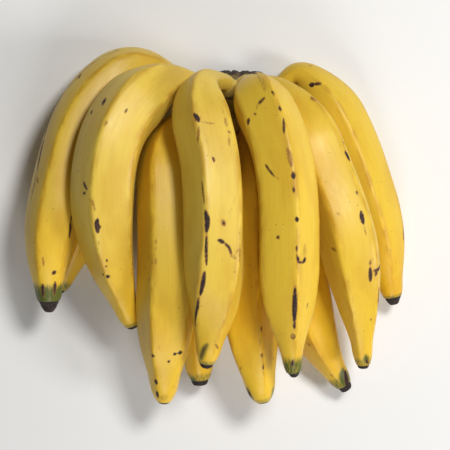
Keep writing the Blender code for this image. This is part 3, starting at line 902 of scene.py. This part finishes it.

# %% [markdown]
# ## Peel finishes
# The peel is waxy and a little translucent: light goes in and comes out warmer. So the shader has a
# soft clear layer and some light scattered below the surface. Fruits of the outer row are a paler
# lemon yellow. The fruits of the lower row are darker and more orange, most of all at the shoulders:
# that is painted shade, for where they lie in the shade under the outer row. All turn warmer and
# lighter towards their tips, and the lighter tips are partly painted light that they catch from below.

# %% Peel finishes
PALE = (0.800, 0.575, 0.080)
LEMON = (0.800, 0.545, 0.048)
SUN = (0.800, 0.530, 0.032)
# Yolk: the warm tip colour, lightened partly as painted light that the tips catch from below.
YOLK = (0.860, 0.560, 0.036)
# Deep and amber: darker, more orange tones that are painted shade on the lower fruits, which lie in the shade of the
# outer row.
DEEP = (0.780, 0.470, 0.015)
SHADED_AMBER = (0.700, 0.350, 0.006)

TONES = {
    "finger_outer_1": (LEMON, LEMON, YOLK),
    "finger_outer_2": (PALE, PALE, YOLK),
    "finger_outer_3": (PALE, PALE, YOLK),
    "finger_outer_4": (LEMON, LEMON, YOLK),
    "finger_outer_5": (LEMON, LEMON, YOLK),
    "finger_outer_6": (LEMON, LEMON, DEEP),
    # The lower row's darker, more orange shoulders and bodies are painted shade.
    "finger_inner_1": (DEEP, DEEP, YOLK),
    "finger_inner_2": (SUN, LEMON, YOLK),
    "finger_inner_3": (SHADED_AMBER, DEEP, YOLK),
    "finger_inner_4": (SHADED_AMBER, DEEP, YOLK),
    "finger_inner_5": (SHADED_AMBER, DEEP, YOLK),
}
CLOUDINESS = 0.45
SCATTER_WEIGHT = 0.18
SCATTER_RADIUS = (1.0, 0.55, 0.12)
SCATTER_SCALE = 3.0 * MM
SHINE = 0.35
WAX = 0.06
WAX_ROUGHNESS = 0.30


def finish_of(name, group, settings, relief):
    """A material whose colour, roughness and height come from a group."""
    made = bpy.data.materials.new(name)
    made.use_nodes = True
    tree = made.node_tree
    shader = tree.nodes["Principled BSDF"]
    effect = add(tree, "ShaderNodeGroup", node_tree=group)
    for key, value in settings.items():
        effect.inputs[key].default_value = (*value, 1.0) if isinstance(value, tuple) else value
    tree.links.new(effect.outputs["Colour"], shader.inputs["Base Color"])
    tree.links.new(effect.outputs["Roughness"], shader.inputs["Roughness"])
    bump = add(tree, "ShaderNodeBump")
    bump.inputs["Strength"].default_value = 1.0
    bump.inputs["Distance"].default_value = relief
    tree.links.new(effect.outputs["Height"], bump.inputs["Height"])
    tree.links.new(bump.outputs[0], shader.inputs["Normal"])
    return made, shader


def peel_finish(name, drift):
    shoulder, body, tip = TONES[name]
    settings = {"Shoulder": shoulder, "Body": body, "Tip": tip, "Cloud": CLOUDINESS, "Drift": drift}
    made, shader = finish_of("peel_" + name, PEEL_GROUP, settings, MM)
    shader.inputs["Subsurface Weight"].default_value = SCATTER_WEIGHT
    shader.inputs["Subsurface Radius"].default_value = SCATTER_RADIUS
    shader.inputs["Subsurface Scale"].default_value = SCATTER_SCALE
    shader.inputs["Specular IOR Level"].default_value = SHINE
    shader.inputs["Coat Weight"].default_value = WAX
    shader.inputs["Coat Roughness"].default_value = WAX_ROUGHNESS
    made.diffuse_color = (*body, 1.0)
    return made


FRUITS = {}
for number, name in enumerate(FINGERS):
    fruit = grow(name, FIRST_SEED + number, peel_finish(name, 137.0 * number))
    mark(fruit, name, number)
    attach(fruit, "root")
    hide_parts(name)
    FRUITS[name] = fruit
    print(fruit.name, len(fruit.data.polygons), "faces")

# %% [markdown]
# ## The crown
# All stalks run together in the crown, a cushion of tough fibres. Where it was cut from the stem its
# edge has dried dark and cracked, and it is greener where the fruits leave it. It could be modelled
# face by face, but a simpler way to get soft grown joins is to push a cushion and eleven short roots
# into each other, turn the lot into one skin with a voxel remesh, and smooth that.

# %% Crown shape
CROWN_HALF_WIDTH = 31.0
CROWN_HEIGHT = 33.0
CROWN_LOW_EDGE = 80.0
CROWN_TOP_EDGE = 120.0
CROWN_END_SHRINK = 0.35
CROWN_END_POWER = 5.0
CROWN_RINGS = 25
CROWN_ARC = 49
ROOT_SHAPE = ((20.0, 1.30), (12.0, 1.16), (5.0, 1.07), (0.0, 1.03), (-3.5, 0.99))
ROOT_CLEARANCE = 0.6
ROOT_AROUND = 32
CROWN_VOXEL = 0.85 * MM
CROWN_SMOOTHING = 14


def closed_loft(rings):
    """Points and faces of a skin over rings, with a flat polygon at both ends."""
    count = len(rings[0])
    points = [tuple(point) for ring in rings for point in ring]
    faces = [tuple(reversed(range(count)))]
    for i in range(len(rings) - 1):
        for j in range(count):
            k = (j + 1) % count
            faces.append((i * count + j, i * count + k, (i + 1) * count + k, (i + 1) * count + j))
    last = (len(rings) - 1) * count
    faces.append(tuple(range(last, last + count)))
    return points, faces


def cushion_rings():
    middle = (CROWN_TOP_EDGE + CROWN_LOW_EDGE) / 2
    half = (CROWN_TOP_EDGE - CROWN_LOW_EDGE) / 2
    angles = np.linspace(-math.pi / 2, math.pi / 2, CROWN_ARC)
    rings = []
    for share in np.sin(np.linspace(-math.pi / 2, math.pi / 2, CROWN_RINGS)):
        size = 1.0 - CROWN_END_SHRINK * abs(share) ** CROWN_END_POWER
        x = CROWN_MIDDLE + size * CROWN_HALF_WIDTH * np.sin(angles)
        z = size * CROWN_HEIGHT * np.cos(angles)
        rings.append(np.stack([x, np.full_like(x, middle + half * share), z], axis=1))
    return rings


def root_rings(shape):
    start, direction = root_of(shape["row"], shape["fan"], shape["lift"], shape.get("inset", 0.0))
    angle = math.radians(shape["fan"])
    flank = np.array([math.cos(angle), 0.0, -math.sin(angle)])
    flank = unit(flank - direction * flank.dot(direction))
    out = np.cross(direction, flank)
    turns = np.linspace(0.0, -2 * math.pi, ROOT_AROUND, endpoint=False)
    around = out * np.cos(turns)[:, None] + flank * np.sin(turns)[:, None]
    rings = []
    for depth, size in ROOT_SHAPE:
        ring = start - direction * depth + around * shape["girth"] * STALK_RATIO * size
        ring[:, 2] = np.maximum(ring[:, 2], ROOT_CLEARANCE)
        rings.append(ring)
    return rings


def crown_shell():
    points, faces = [], []
    for rings in [cushion_rings()] + [root_rings(shape) for shape in FINGERS.values()]:
        more_points, more_faces = closed_loft(rings)
        first = len(points)
        points += [((np.array(point) + SHIFT) * MM).tolist() for point in more_points]
        faces += [tuple(first + i for i in face) for face in more_faces]
    mesh = bpy.data.meshes.new("crown_shell")
    mesh.from_pydata(points, [], faces)
    return mesh


def crown_skin():
    made = bpy.data.objects.new("crown_skin", crown_shell())
    bpy.context.scene.collection.objects.link(made)
    remesh = made.modifiers.new("one_skin", "REMESH")
    remesh.mode = "VOXEL"
    remesh.voxel_size = CROWN_VOXEL
    remesh.use_smooth_shade = True
    soft = made.modifiers.new("soften", "SMOOTH")
    soft.factor = 0.5
    soft.iterations = CROWN_SMOOTHING
    made.data = plain_mesh(made, "crown_skin")
    return made


CROWN = crown_skin()
print("crown:", len(CROWN.data.polygons), "faces")

# %% [markdown]
# ## Cracks, fibres and colour zones of the crown
# The cut part dries, shrinks and cracks along its fibres, which run from the middle of the crown out
# to the stalks. Its points are pushed in along such lines, more where it is dry, and two values are
# stored for the finish: how dry a point is and how much it already belongs to a stalk.

# %% Crown relief
CRACK_DEPTH = 0.9
LOWEST = 0.0


def wave_noise(points, rng, size, count=24):
    """A smooth random field from many sine waves, between about -1 and 1."""
    total = np.zeros(len(points))
    for _ in range(count):
        direction = unit(rng.normal(size=3))
        length = size * rng.uniform(0.7, 1.6)
        total += np.sin(points @ direction * 2 * math.pi / length + rng.uniform(0, 2 * math.pi))
    return total / math.sqrt(count / 2) / 1.6


def shape_crown(made):
    mesh = made.data
    count = len(mesh.vertices)
    values = np.zeros(count * 3, np.float32)
    mesh.vertices.foreach_get("co", values)
    points = values.reshape(-1, 3).astype(float) / MM - SHIFT
    normals = normals_of(mesh).astype(float)
    stalk = np.zeros(count)
    for shape in FINGERS.values():
        start, direction = root_of(shape["row"], shape["fan"], shape["lift"], shape.get("inset", 0.0))
        off = points - start
        along = off @ direction
        away = np.linalg.norm(off - along[:, None] * direction, axis=1)
        inside = smoothstep(1.5, 1.15, away / (shape["girth"] * STALK_RATIO))
        stalk = np.maximum(stalk, smoothstep(-11.0, 0.0, along) * inside)
    rng = np.random.default_rng(7)
    ragged = wave_noise(points, rng, 9.0)
    dry = smoothstep(9.0, 2.0, points[:, 2] + 2.0 * ragged)
    dry = np.maximum(dry, smoothstep(113.0, 119.0, points[:, 1] + 2.0 * ragged) * (1 - stalk))
    around = np.arctan2(points[:, 0] - CROWN_MIDDLE, points[:, 2] + 4.0)
    fibre_place = np.stack([around * 26.0, points[:, 1] * 0.22, points[:, 2] * 0.1], axis=1)
    cracks = np.clip(wave_noise(fibre_place, rng, 4.2, 40), -1.0, 1.0)
    cracks = np.where(cracks < 0, cracks * 1.4, cracks * 0.3)
    depth = CRACK_DEPTH * (0.15 + 0.85 * dry) * cracks * (1 - 0.85 * stalk)
    depth += 0.35 * wave_noise(points, rng, 14.0) * (1 - stalk) - 0.3 * (1 - stalk)
    points += normals * depth[:, None]
    points[:, 2] = np.maximum(points[:, 2], LOWEST)
    mesh.vertices.foreach_set("co", ((points + SHIFT) * MM).astype(np.float32).ravel())
    for key, layer in (("stalk", stalk), ("dry", dry)):
        stored = mesh.attributes.new(key, "FLOAT", "POINT")
        stored.data.foreach_set("value", layer.astype(np.float32))
    mesh.update()


shape_crown(CROWN)

# %% [markdown]
# ## Crown finish
# Fresh crown is pale green and yellow like the stalks. Dried it is grey-brown, and nearly black at the
# cut, with fibres that run the same way as the cracks.

# %% Crown finish
CROWN_FRESH = (0.42, 0.36, 0.085)
CROWN_STALK = (0.74, 0.56, 0.13)
CROWN_BARK = (0.135, 0.075, 0.032)
CROWN_CUT = (0.024, 0.015, 0.012)
CROWN_FIBRE = (0.30, 0.20, 0.10)


def crown_group():
    tree = bpy.data.node_groups.new("crown_bark", "ShaderNodeTree")
    tree.interface.new_socket("Colour", in_out="OUTPUT", socket_type="NodeSocketColor")
    for label in ("Roughness", "Height"):
        tree.interface.new_socket(label, in_out="OUTPUT", socket_type="NodeSocketFloat")
    place = add(tree, "ShaderNodeTexCoord").outputs["Object"]
    stalk = read(tree, "stalk")
    dry = read(tree, "dry")
    fibre = noise(tree, add(tree, "ShaderNodeMapping", (place, None, None, (900, 130, 500))).outputs[0], 1.0, 4.0, 0.6)
    patch = noise(tree, place, 120.0, 4.0, 0.6)
    colour = mix(tree, ramp(tree, patch, 0.35, 0.65), CROWN_FRESH, CROWN_BARK)
    colour = mix(tree, ramp(tree, stalk, 0.1, 0.8), colour, CROWN_STALK)
    colour = mix(tree, calc(tree, "MULTIPLY", ramp(tree, fibre, 0.5, 0.8), 0.4), colour, CROWN_FIBRE)
    parched = mix(tree, ramp(tree, fibre, 0.45, 0.75), CROWN_CUT, CROWN_BARK)
    dry_edge = calc(tree, "ADD", dry, calc(tree, "MULTIPLY_ADD", patch, 0.6, -0.3))
    colour = mix(tree, ramp(tree, dry_edge, 0.25, 0.75), colour, parched)
    rough = calc(tree, "MULTIPLY_ADD", dry, 0.2, calc(tree, "MULTIPLY_ADD", fibre, 0.2, 0.5))
    height = calc(tree, "MULTIPLY_ADD", fibre, 0.5, calc(tree, "MULTIPLY", patch, 0.4))
    height = calc(tree, "MULTIPLY", height, calc(tree, "MULTIPLY_ADD", stalk, -0.85, 1.0))
    add(tree, "NodeGroupOutput", (colour, rough, height))
    return tree


CROWN_FINISH, _ = finish_of("crown_bark", crown_group(), {}, MM)
CROWN.data.materials.clear()
CROWN.data.materials.append(CROWN_FINISH)
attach(CROWN, "root")
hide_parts("crown")

# %% [markdown]
# ## Floor
# The hand lies on a plain pale table. A faint unevenness in its roughness keeps it from looking like
# a hole in the picture.

# %% Floor
FLOOR_HALF = 4.0
FLOOR_DROP = 0.2 * MM
FLOOR_COLOUR = (0.88, 0.88, 0.875)


def floor():
    corners = [(x * FLOOR_HALF, y * FLOOR_HALF, -FLOOR_DROP) for x, y in ((-1, -1), (1, -1), (1, 1), (-1, 1))]
    mesh = bpy.data.meshes.new("floor")
    mesh.from_pydata(corners, [], [(0, 1, 2, 3)])
    made = bpy.data.objects.new("floor", mesh)
    bpy.context.scene.collection.objects.link(made)
    finish = bpy.data.materials.new("pale_table")
    finish.use_nodes = True
    tree = finish.node_tree
    shader = tree.nodes["Principled BSDF"]
    shader.inputs["Base Color"].default_value = (*FLOOR_COLOUR, 1.0)
    place = add(tree, "ShaderNodeTexCoord").outputs["Object"]
    rough = calc(tree, "MULTIPLY_ADD", noise(tree, place, 6.0, 3.0), 0.1, 0.75)
    tree.links.new(rough, shader.inputs["Roughness"])
    mesh.materials.append(finish)
    return made


floor()

# %% [markdown]
# ## Light and camera
# The camera looks straight down on the hand. Three soft lamps stand behind the crown on the right,
# low on the right, and low before the tips, with none on the left, so that the flats on the left of
# each ridge fall into shade.

# %% Light and camera
CAMERA_HEIGHT = 1.25
CAMERA_LENS = 126.93
SENSOR = 36.0


def lamp(name, place, aim, size, power, colour=(1.0, 1.0, 1.0)):
    light = bpy.data.lights.new(name, "AREA")
    light.shape = "DISK"
    light.size = size
    light.energy = power
    light.color = colour
    made = bpy.data.objects.new(name, light)
    made.location = place
    made.rotation_euler = (Vector(aim) - Vector(place)).to_track_quat("-Z", "Y").to_euler()
    bpy.context.scene.collection.objects.link(made)
    return made


lamp("main_light", (0.53, 0.53, 1.30), (0.0, 0.0, 0.03), 0.40, 13.5, (1.0, 0.985, 0.96))
lamp("right_light", (1.19, -0.32, 0.86), (0.0, 0.0, 0.03), 0.40, 7.5)
lamp("front_light", (0.10, -1.23, 0.90), (0.0, 0.0, 0.03), 0.50, 6.5)

world = bpy.context.scene.world or bpy.data.worlds.new("room")
bpy.context.scene.world = world
world.use_nodes = True
background = world.node_tree.nodes["Background"]
background.inputs["Color"].default_value = (1.0, 1.0, 1.0, 1.0)
background.inputs["Strength"].default_value = 0.08

lens = bpy.data.cameras.new("camera")
lens.lens = CAMERA_LENS
lens.sensor_width = SENSOR
lens.clip_start = 0.01
camera = bpy.data.objects.new("camera", lens)
camera.location = (SHIFT[0] * MM, SHIFT[1] * MM, CAMERA_HEIGHT)
bpy.context.scene.collection.objects.link(camera)
bpy.context.scene.camera = camera
bpy.context.scene.view_settings.view_transform = "Standard"
bpy.context.scene.view_settings.look = "None"
